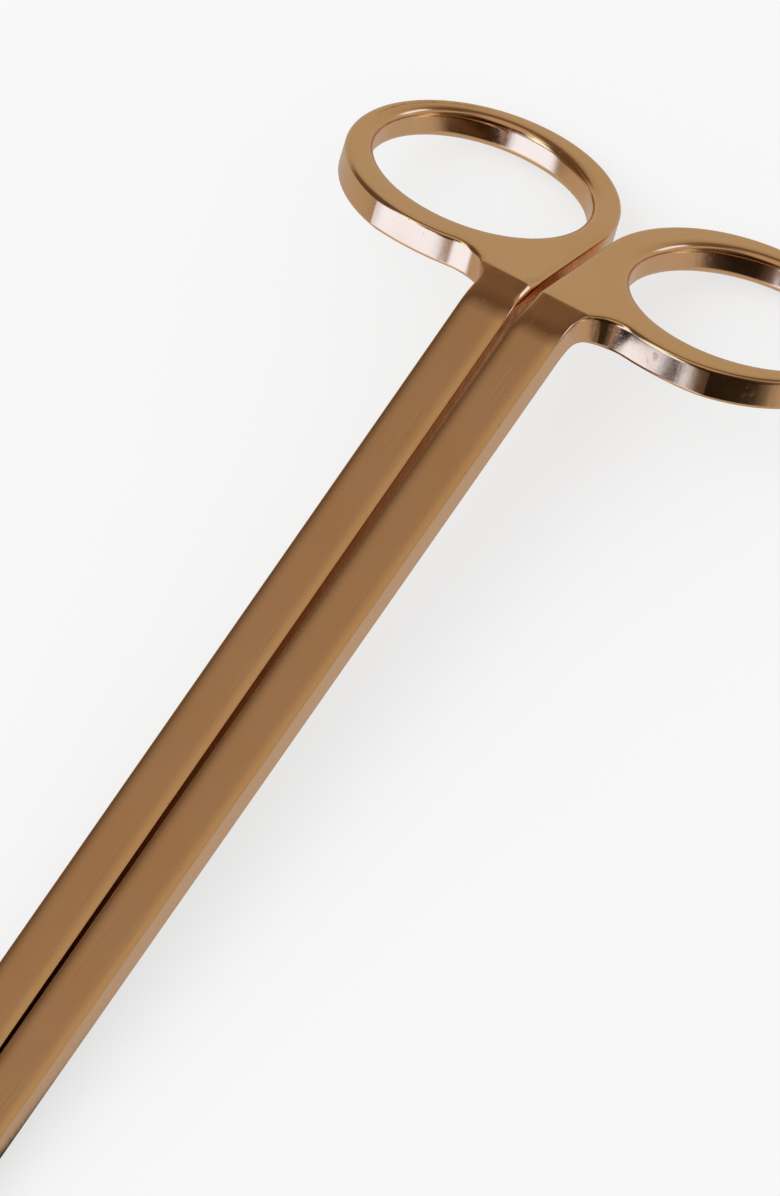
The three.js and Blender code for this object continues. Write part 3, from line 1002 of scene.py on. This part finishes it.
def tray_profile(s):
    """(inset, height) points of the pressed sheet, from the floor's underside, round the lip
    of the rim, to the floor's top."""
    rim = -s.rim_drop
    floor = rim - s.tray_depth
    bottom = floor - s.tray_sheet
    foot, bend, lip = TRAY_FOOT, TRAY_BEND, s.tray_sheet / 2.0
    centre = s.tray_radius
    points = [(centre, bottom), (centre * 0.6, bottom), (centre * 0.3, bottom)]
    points += [(foot - foot * math.sin(a), bottom + foot - foot * math.cos(a))
               for a in spread(0.0, QUARTER, 8)]
    points += [(lip - lip * math.cos(a), rim - lip + lip * math.sin(a))
               for a in spread(0.0, math.pi, 8)]
    inner = s.tray_sheet + bend
    points += [(inner - bend * math.cos(a), floor + bend - bend * math.sin(a))
               for a in spread(0.0, QUARTER, 6)]
    points += [(centre * 0.3, floor), (centre * 0.6, floor), (centre, floor)]
    return points


def tray_mesh(s):
    bm = bmesh.new()
    rows = []
    for inset, height in tray_profile(s):
        places = [tray_point(s, inset, share) for share in spread(0.0, 1.0, TRAY_STEPS)]
        rows.append([bm.verts.new((*place, height)) for place in places])
    loft(bm, rows, close_rows=False)
    bmesh.ops.remove_doubles(bm, verts=bm.verts, dist=1e-7)
    rim = [e for e in bm.edges if e.is_boundary]
    bmesh.ops.triangle_fill(bm, edges=rim, use_beauty=True, normal=(0.0, -1.0, 0.0))
    floor = -s.rim_drop - s.tray_depth
    top = -s.plate_thickness - s.running_gap
    for y in (s.rivet_near, s.rivet_far):
        pad = bmesh.new()
        foot, low = s.pad_radius * PAD_SPREAD, floor - s.tray_sheet / 2.0
        lathe(pad, soft_profile([
            (0.0, low), (foot, low), (foot, floor + PAD_FOOT),
            (s.pad_radius, floor + PAD_SHOULDER), (s.pad_radius, top), (0.0, top)], PAD_ROUND), 40)
        bmesh.ops.translate(pad, verts=pad.verts, vec=(-s.rivet_aside, y, 0.0))
        extra = bpy.data.meshes.new("pad")
        pad.to_mesh(extra)
        pad.free()
        bm.from_mesh(extra)
        bpy.data.meshes.remove(extra)
    return finished_mesh("debris_tray", bm, head_matrix())


class TRIMMER_OT_add_tray(bpy.types.Operator):
    """Make the pressed tray that catches the cut wick"""

    bl_idname = "trimmer.add_tray"
    bl_label = "Add Tray"

    def execute(self, context):
        piece("wick_tray", tray_mesh(sizes()), metal("rose_gold_head"), FIXED_LEVER,
              ("debris_tray",))
        return {"FINISHED"}


# ---- geometry node tools ------------------------------------------------------------------


def geometry_tree(name, inputs):
    tree = bpy.data.node_groups.new(name, "GeometryNodeTree")
    tree.interface.new_socket("Geometry", in_out="OUTPUT", socket_type="NodeSocketGeometry")
    ids = {}
    for label, kind in inputs:
        ids[label] = tree.interface.new_socket(label, in_out="INPUT", socket_type=kind).identifier
    return tree, node(tree, "NodeGroupInput"), node(tree, "NodeGroupOutput"), ids


def finish_tree(tree, geometry, material, out):
    realize = node(tree, "GeometryNodeRealizeInstances")
    paint = node(tree, "GeometryNodeSetMaterial")
    paint.inputs["Material"].default_value = material
    link(tree, geometry, realize.inputs["Geometry"])
    link(tree, realize.outputs["Geometry"], paint.inputs["Geometry"])
    link(tree, paint.outputs["Geometry"], out.inputs["Geometry"])


def grown_mesh(name, tree, ids, values):
    """The mesh that a node tree makes with the given inputs."""
    obj = add_object(f"{name}_maker", bpy.data.meshes.new(name))
    modifier = obj.modifiers.new("Maker", "NODES")
    modifier.node_group = tree
    for label, value in values.items():
        modifier[ids[label]] = value
    made = evaluated_mesh(obj)
    made.name = name
    return made


# ---- tray rivets --------------------------------------------------------------------------


SMALL_CHAMFER = 0.12 * MM      # on rivets and the washer


def rivet_template(s):
    """One rivet standing on the pivot: a low domed head below and a flush end above."""
    bottom = -s.rim_drop - s.tray_depth - s.tray_sheet - s.running_gap
    top = -s.plate_thickness + s.blade_thickness - s.running_gap
    head = s.rivet_radius + s.rivet_head
    dome = [(head * math.sin(a), bottom - s.rivet_head * math.cos(a))
            for a in spread(0.0, QUARTER, 8)]
    bm = bmesh.new()
    lathe(bm, dome + [(s.rivet_radius, bottom), (s.rivet_radius, top - SMALL_CHAMFER),
                      (s.rivet_radius - SMALL_CHAMFER, top), (0.0, top)], 36)
    return add_object("rivet_template", finished_mesh("rivet_template", bm))


def rivet_tree(material):
    """Copies one rivet to each end of a row along the blade."""
    tree, inside, out, ids = geometry_tree("Tray Rivets", [
        ("Rivet", "NodeSocketObject"), ("Aside", "NodeSocketFloat"), ("Near", "NodeSocketFloat"),
        ("Far", "NodeSocketFloat"), ("Count", "NodeSocketInt")])
    ends = []
    for label in ("Near", "Far"):
        spot = node(tree, "ShaderNodeCombineXYZ")
        link(tree, inside.outputs["Aside"], spot.inputs["X"])
        link(tree, inside.outputs[label], spot.inputs["Y"])
        ends.append(spot)
    row = node(tree, "GeometryNodeMeshLine", mode="END_POINTS", count_mode="TOTAL")
    link(tree, inside.outputs["Count"], row.inputs["Count"])
    link(tree, ends[0].outputs["Vector"], row.inputs["Start Location"])
    link(tree, ends[1].outputs["Vector"], row.inputs["Offset"])
    rivet = node(tree, "GeometryNodeObjectInfo")
    link(tree, inside.outputs["Rivet"], rivet.inputs["Object"])
    copies = node(tree, "GeometryNodeInstanceOnPoints")
    link(tree, row.outputs["Mesh"], copies.inputs["Points"])
    link(tree, rivet.outputs["Geometry"], copies.inputs["Instance"])
    finish_tree(tree, copies.outputs["Instances"], material, out)
    return tree, ids


class TRIMMER_OT_add_rivets(bpy.types.Operator):
    """Rivet the tray to the lower blade"""

    bl_idname = "trimmer.add_rivets"
    bl_label = "Add Tray Rivets"

    def execute(self, context):
        s = sizes()
        fastener = metal("plated_fastener")
        template = rivet_template(s)
        tree, ids = rivet_tree(fastener)
        mesh = grown_mesh("tray_rivets", tree, ids, {
            "Rivet": template, "Aside": -s.rivet_aside, "Near": s.rivet_near,
            "Far": s.rivet_far, "Count": 2})
        bpy.data.objects.remove(template)
        mesh.transform(head_matrix())
        piece("tray_rivets", mesh, fastener, FIXED_LEVER,
              ("tray_rivet_1", "tray_rivet_2"))
        return {"FINISHED"}


# ---- pivot --------------------------------------------------------------------------------


def washer_bottom(s):
    return -s.plate_thickness - s.running_gap - s.washer_height


def nut_bottom(s):
    return washer_bottom(s) - s.running_gap - s.nut_height


SCREW_CHAMFER = 0.35 * MM
HEAD_CROWN = 0.18 * MM
HEAD_FLAT = 0.55               # flat middle of the screw's head, as a share of its radius
HEAD_ROUND = 0.28 * MM
SLOT_ROUND = 0.07 * MM
NUT_LEAD = 0.25 * MM           # countersink at each end of the nut's bore
NUT_FLAT = 0.97                # the nut's unchamfered face, as a share of its flats
NUT_SLOPE = 0.5
NUT_SIDES = 96
THREAD_RIDGE = 0.3             # radius of the thread's ridge, as a share of its pitch
THREAD_SUNK = 0.6              # how much of that radius lies inside the shank
THREAD_TURNS = 2.0


def screw_mesh(s):
    """A slotted cheese head with a softened rim, and a shank down to its chamfered end."""
    under = s.running_gap
    top = under + s.screw_head_height
    end = nut_bottom(s) - s.screw_end
    profile = soft_profile([
        (0.0, end), (s.screw_radius - SCREW_CHAMFER, end), (s.screw_radius, end + SCREW_CHAMFER),
        (s.screw_radius, under), (s.screw_head, under), (s.screw_head, top - HEAD_CROWN),
        (s.screw_head * HEAD_FLAT, top), (0.0, top)], HEAD_ROUND)
    bm = bmesh.new()
    lathe(bm, profile, 72)
    body = add_object("screw_maker", finished_mesh("pivot_screw", bm))
    bm = bmesh.new()
    slot = Matrix.Diagonal((s.screw_head * 3.0, s.slot_width, 2.0 * s.slot_depth, 1.0))
    bmesh.ops.create_cube(bm, size=1.0, matrix=Matrix.Translation((0.0, 0.0, top)) @ slot)
    cutter = add_object("slot_maker", finished_mesh("slot", bm))
    cut = body.modifiers.new("Slot", "BOOLEAN")
    cut.operation = "DIFFERENCE"
    cut.solver = "EXACT"
    cut.object = cutter
    soften = body.modifiers.new("Soft Edges", "BEVEL")
    soften.width = SLOT_ROUND
    soften.segments = 2
    soften.limit_method = "ANGLE"
    soften.angle_limit = math.radians(50.0)
    made = evaluated_mesh(body)
    bpy.data.objects.remove(cutter)
    made.transform(head_matrix())
    return made


def washer_mesh(s):
    bm = bmesh.new()
    low, high = washer_bottom(s), washer_bottom(s) + s.washer_height
    bore, soft = s.screw_radius + s.running_gap, SMALL_CHAMFER
    lathe(bm, [(bore, low + soft), (bore + soft, low), (s.washer_radius - soft, low),
               (s.washer_radius, low + soft), (s.washer_radius, high - soft),
               (s.washer_radius - soft, high), (bore + soft, high), (bore, high - soft)], 64)
    return finished_mesh("pivot_washer", bm, head_matrix())


def nut_mesh(s):
    """A hexagon whose corners are chamfered by cones above and below."""
    bm = bmesh.new()
    low, high = nut_bottom(s), nut_bottom(s) + s.nut_height
    flat = s.nut_radius * math.cos(math.pi / 6.0)
    bore, lead = s.screw_radius + s.running_gap, NUT_LEAD
    rows = []
    for kind, height in (("bore", low + lead), ("lead", low), ("flat", low), ("hex", low),
                         ("hex", high), ("flat", high), ("lead", high), ("bore", high - lead)):
        row = []
        for a in spread(0.0, 2.0 * math.pi, NUT_SIDES)[:-1]:
            sixth = (a % (math.pi / 3.0)) - math.pi / 6.0
            radius = {"bore": bore, "lead": bore + lead, "flat": flat * NUT_FLAT,
                      "hex": flat / math.cos(sixth)}[kind]
            z = height
            if kind == "hex":
                fall = (radius - flat * NUT_FLAT) * NUT_SLOPE
                z = height + fall if height == low else height - fall
            row.append(bm.verts.new((radius * math.cos(a), radius * math.sin(a), z)))
        rows.append(row)
    loft(bm, rows, close_columns=True)
    return finished_mesh("pivot_nut", bm, head_matrix())


def thread_tree(material):
    """One thread ridge wound along a helix."""
    tree, inside, out, ids = geometry_tree("Screw Thread", [
        ("Radius", "NodeSocketFloat"), ("Pitch", "NodeSocketFloat"),
        ("Turns", "NodeSocketFloat"), ("Ridge", "NodeSocketFloat")])
    helix = node(tree, "GeometryNodeCurveSpiral")
    helix.inputs["Resolution"].default_value = 48
    for label, socket in (("Turns", "Rotations"), ("Radius", "Start Radius"),
                          ("Radius", "End Radius")):
        link(tree, inside.outputs[label], helix.inputs[socket])
    height = maths(tree, "MULTIPLY", inside.outputs["Pitch"], inside.outputs["Turns"])
    link(tree, height, helix.inputs["Height"])
    ridge = node(tree, "GeometryNodeCurvePrimitiveCircle", mode="RADIUS")
    ridge.inputs["Resolution"].default_value = 6
    link(tree, inside.outputs["Ridge"], ridge.inputs["Radius"])
    sweep = node(tree, "GeometryNodeCurveToMesh")
    sweep.inputs["Fill Caps"].default_value = True
    link(tree, helix.outputs["Curve"], sweep.inputs["Curve"])
    link(tree, ridge.outputs["Curve"], sweep.inputs["Profile Curve"])
    finish_tree(tree, sweep.outputs["Mesh"], material, out)
    return tree, ids


class TRIMMER_OT_add_pivot(bpy.types.Operator):
    """Make the pivot screw with its thread, washer and nut"""

    bl_idname = "trimmer.add_pivot"
    bl_label = "Add Pivot"

    def execute(self, context):
        s = sizes()
        fastener = metal("plated_fastener")
        for name, make, word, sharp in (
                ("pivot_screw", screw_mesh, "slotted", 60.0),
                ("pivot_washer", washer_mesh, "flat", 60.0),
                ("pivot_nut", nut_mesh, "hexagon", 25.0)):
            piece(f"{name}_{word}", make(s), fastener, FIXED_LEVER, (name,),
                  sharp=sharp)
        tree, ids = thread_tree(fastener)
        ridge = s.thread_pitch * THREAD_RIDGE
        start = nut_bottom(s) - s.screw_end + SCREW_CHAMFER
        mesh = grown_mesh("pivot_thread", tree, ids, {
            "Radius": s.screw_radius - ridge * THREAD_SUNK, "Pitch": s.thread_pitch,
            "Turns": THREAD_TURNS, "Ridge": ridge})
        mesh.transform(head_matrix() @ Matrix.Translation((0.0, 0.0, start)))
        piece("pivot_thread", mesh, fastener, FIXED_LEVER, (),
              even_shading=False)
        return {"FINISHED"}


# ---- studio -------------------------------------------------------------------------------


def floor_material(tone, glow):
    """A pale floor that is partly self-lit, so that shadows on it stay faint."""
    material, _, shader = new_material("studio_floor")
    shader.inputs["Base Color"].default_value = (*(value * (1.0 - glow) for value in tone), 1.0)
    shader.inputs["Roughness"].default_value = 0.9
    shader.inputs["Specular IOR Level"].default_value = 0.0
    shader.inputs["Emission Color"].default_value = (*tone, 1.0)
    shader.inputs["Emission Strength"].default_value = glow
    return material


def panel_group():
    """A soft-edged patch of the room, between two headings and two heights."""
    tree, inside, out = shader_group("Room Panel", [
        ("Direction", VECTOR, None), ("Heading", FLOAT, 0.0), ("Half Width", FLOAT, 0.3),
        ("Low", FLOAT, 0.0), ("High", FLOAT, 0.5), ("Soft", FLOAT, 0.1)], [("Mask", FLOAT)])
    aim = inside.outputs
    apart = split(tree, aim["Direction"])
    heading = maths(tree, "ARCTAN2", apart["X"], maths(tree, "MULTIPLY", apart["Y"], -1.0))
    away = maths(tree, "SUBTRACT", heading, aim["Heading"])
    away = maths(tree, "ARCCOSINE", maths(tree, "COSINE", away))
    height = maths(tree, "ARCSINE", apart["Z"])
    mask = None
    for first, second in ((aim["Half Width"], away), (height, aim["Low"]), (aim["High"], height)):
        inner = maths(tree, "DIVIDE", maths(tree, "SUBTRACT", first, second), aim["Soft"])
        part = maths(tree, "ADD", inner, 0.5, clamp=True)
        mask = part if mask is None else maths(tree, "MULTIPLY", mask, part)
    link(tree, mask, out.inputs["Mask"])
    return tree


# What the metal mirrors of the room: heading (0 is the blades' side, 90 the thumb ring's),
# half width, low and high edge and softness in degrees, then the light that comes from there.
ROOM = (
    ("front shade", 0, 98, -9, 62, 14, (0.110, 0.080, 0.060)),
    ("deep shade", 35, 27, -19, 62, 12, (0.014, 0.009, 0.006)),
    ("left shade", -112, 12, 14, 56, 10, (0.120, 0.085, 0.065)),
    ("right wall", 108, 13, -20, 66, 12, (0.48, 0.48, 0.46)),
    ("right window", 132, 9, 7, 34, 6, (1.1, 1.5, 2.6)),
    ("right lamp", 86, 7, -20, 14, 6, (1.0, 0.95, 0.75)),
    ("tall window", -23, 22, -20, 36, 6, (1.12, 1.72, 3.3)),
    ("leaning window", -36, 14, 34, 58, 7, (1.35, 1.9, 2.3)),
    ("top window", -58, 16, 56, 72, 8, (1.2, 1.5, 1.8)),
    ("floor glare", -18, 18, -34, -16, 8, (0.95, 1.0, 1.05)),
)
# Everywhere else the room is graded by height only: sine of the height above the floor's
# plane, mapped from -1...1 to 0...1, and the light that comes from there.
ROOM_BANDS = (
    (0.00, (0.52, 0.50, 0.46)), (0.30, (0.50, 0.48, 0.44)), (0.50, (0.50, 0.49, 0.43)),
    (0.66, (0.43, 0.42, 0.37)), (0.74, (0.34, 0.31, 0.27)), (0.80, (0.19, 0.145, 0.115)),
    (0.87, (0.155, 0.11, 0.085)), (0.905, (0.125, 0.09, 0.075)), (0.93, (0.22, 0.19, 0.17)),
    (0.957, (0.35, 0.305, 0.28)), (0.98, (0.50, 0.47, 0.38)), (1.00, (0.50, 0.47, 0.40)),
)


def add_room(st):
    """A plain white room to the eye, and a graded room with windows in the polished metal."""
    world = bpy.data.worlds.new("studio_room")
    bpy.context.scene.world = world
    world.use_nodes = True
    tree = world.node_tree
    back = tree.nodes["Background"]
    direction = node(tree, "ShaderNodeTexCoord").outputs["Generated"]
    bands = node(tree, "ShaderNodeValToRGB")
    points = bands.color_ramp.elements
    while len(points) < len(ROOM_BANDS):
        points.new(0.5)
    for element, (at, light) in zip(points, ROOM_BANDS):
        element.position = at
        element.color = (*light, 1.0)
    height = split(tree, direction)["Z"]
    link(tree, maths(tree, "MULTIPLY_ADD", height, 0.5, 0.5), bands.inputs["Fac"])
    seen = bands.outputs["Color"]
    for label, heading, half, low, high, soft, light in ROOM:
        panel = use_group(tree, "Room Panel", Direction=direction)
        panel.label = label
        for socket, degrees in (("Heading", heading), ("Half Width", half), ("Low", low),
                                ("High", high), ("Soft", soft)):
            panel.inputs[socket].default_value = math.radians(degrees)
        seen = blend_colours(tree, panel.outputs["Mask"], seen, light)
    rays = node(tree, "ShaderNodeLightPath")
    plain = tuple(st.floor_tone)
    link(tree, blend_colours(tree, rays.outputs["Is Glossy Ray"], plain, seen),
         back.inputs["Color"])


def direction_to(azimuth, elevation):
    """Direction out to a place round the object: azimuth 0 is on the blades' side."""
    return Vector((math.sin(azimuth) * math.cos(elevation),
                   -math.cos(azimuth) * math.cos(elevation), math.sin(elevation)))


def add_key_light(st):
    """A square light that faces the middle of the levers, and that the metal doesn't mirror."""
    data = bpy.data.lights.new("key_light", "AREA")
    data.size = st.key_size
    data.energy = st.key_power
    light = add_object("key_light", data)
    out = direction_to(st.key_azimuth, st.key_elevation)
    light.location = out * st.key_distance
    light.rotation_euler = (-out).to_track_quat("-Z", "Y").to_euler()
    light.visible_glossy = False


def add_camera(st):
    """A camera aimed from the crease between band and finger ring, a set way off it."""
    fold = Fold(sizes())
    crease = bar_matrix(sizes()) @ Vector((0.0, fold.crease_y, fold.crease_z))
    data = bpy.data.cameras.new("camera")
    data.lens = st.distance / st.view_height * data.sensor_width
    data.clip_start, data.clip_end = 0.1, 50.0
    cam = add_object("camera", data)
    back = direction_to(st.azimuth, st.elevation)
    turn = (-back).to_track_quat("-Z", "Y").to_matrix() @ Matrix.Rotation(st.roll, 3, "Z")
    right, up = turn.col[0], turn.col[1]
    aim = crease - right * st.aim_right - up * st.aim_up
    cam.location = aim + back * st.distance
    cam.rotation_euler = turn.to_euler()
    bpy.context.scene.camera = cam


BLACK = (0.0, 0.0, 0.0)
SHADE_PALE = (0.15, 0.085, 0.045)
SHADE_PALER = (-30.0 * MM, 60.0 * MM)      # where along y the shade grows paler
SHADE_ALONG = (-75.0 * MM, 78.0 * MM)
SHADE_OUTSIDE = 1.4 * MM                   # past each bar's outer side
SHADE_HEIGHT = 0.05 * MM


def contact_shade(s):
    """The darkness under the bars, for the polished metal to mirror: black near the head,
    where the bars lie on the floor, and paler towards the rings."""
    material, tree, shader = new_material("contact_shade")
    shader.inputs["Base Color"].default_value = (*BLACK, 1.0)
    shader.inputs["Specular IOR Level"].default_value = 0.0
    shader.inputs["Emission Strength"].default_value = 1.0
    place = split(tree, node(tree, "ShaderNodeTexCoord").outputs["Object"])
    pale = ramp(tree, place["Y"], *SHADE_PALER)
    link(tree, blend_colours(tree, pale, BLACK, SHADE_PALE), shader.inputs["Emission Color"])
    outer = s.bar_half_gap + s.bar_width + SHADE_OUTSIDE
    low, high = SHADE_ALONG
    shade = flat_sheet("contact_shade", (-outer, low), (outer, high), SHADE_HEIGHT, material)
    shade.visible_camera = False
    shade.visible_diffuse = False
    shade.visible_shadow = False


def flat_sheet(name, low, high, z, material):
    """A level rectangle with the given material, put in the scene."""
    bm = bmesh.new()
    bm.faces.new([bm.verts.new((x, y, z)) for x, y in (
        low, (high[0], low[1]), high, (low[0], high[1]))])
    mesh = bpy.data.meshes.new(name)
    bm.to_mesh(mesh)
    bm.free()
    mesh.materials.append(material)
    sheet = add_object(name, mesh)
    return sheet


class TRIMMER_OT_add_studio(bpy.types.Operator):
    """Set up the floor, the room, the key light and the camera"""

    bl_idname = "trimmer.add_studio"
    bl_label = "Add Studio"

    def execute(self, context):
        st = studio()
        half = st.floor_half
        floor = flat_sheet("studio_floor", (-half, -half), (half, half), 0.0,
                           floor_material(st.floor_tone, st.floor_glow))
        floor.visible_glossy = False
        contact_shade(sizes())
        add_room(st)
        add_key_light(st)
        add_camera(st)
        view = bpy.context.scene.view_settings
        view.view_transform = "Standard"
        view.look = "None"
        return {"FINISHED"}


# ---- add-on -------------------------------------------------------------------------------


class VIEW3D_PT_trimmer(bpy.types.Panel):
    """Builds the wick trimmer piece by piece"""

    bl_label = "Wick Trimmer"
    bl_idname = "VIEW3D_PT_trimmer"
    bl_space_type = "VIEW_3D"
    bl_region_type = "UI"
    bl_category = "Wick Trimmer"

    def draw(self, context):
        for operator in OPERATORS:
            self.layout.operator(operator.bl_idname)
        for group in (sizes(), finish(), studio()):
            column = self.layout.column()
            for name in group.__annotations__:
                column.prop(group, name)


OPERATORS = (TRIMMER_OT_add_handles, TRIMMER_OT_add_blades, TRIMMER_OT_add_tray,
             TRIMMER_OT_add_rivets, TRIMMER_OT_add_pivot, TRIMMER_OT_add_studio)
CLASSES = (TrimmerSizes, TrimmerFinish, TrimmerStudio, *OPERATORS, VIEW3D_PT_trimmer)


def register():
    for cls in CLASSES:
        bpy.utils.register_class(cls)
    bpy.types.Scene.trimmer_sizes = PointerProperty(type=TrimmerSizes)
    bpy.types.Scene.trimmer_finish = PointerProperty(type=TrimmerFinish)
    bpy.types.Scene.trimmer_studio = PointerProperty(type=TrimmerStudio)


def unregister():
    del bpy.types.Scene.trimmer_studio
    del bpy.types.Scene.trimmer_finish
    del bpy.types.Scene.trimmer_sizes
    for cls in reversed(CLASSES):
        bpy.utils.unregister_class(cls)


def main():
    register()
    bpy.ops.trimmer.add_handles()
    bpy.ops.trimmer.add_blades()
    bpy.ops.trimmer.add_tray()
    bpy.ops.trimmer.add_rivets()
    bpy.ops.trimmer.add_pivot()
    bpy.ops.trimmer.add_studio()


if __name__ == "__main__":
    main()
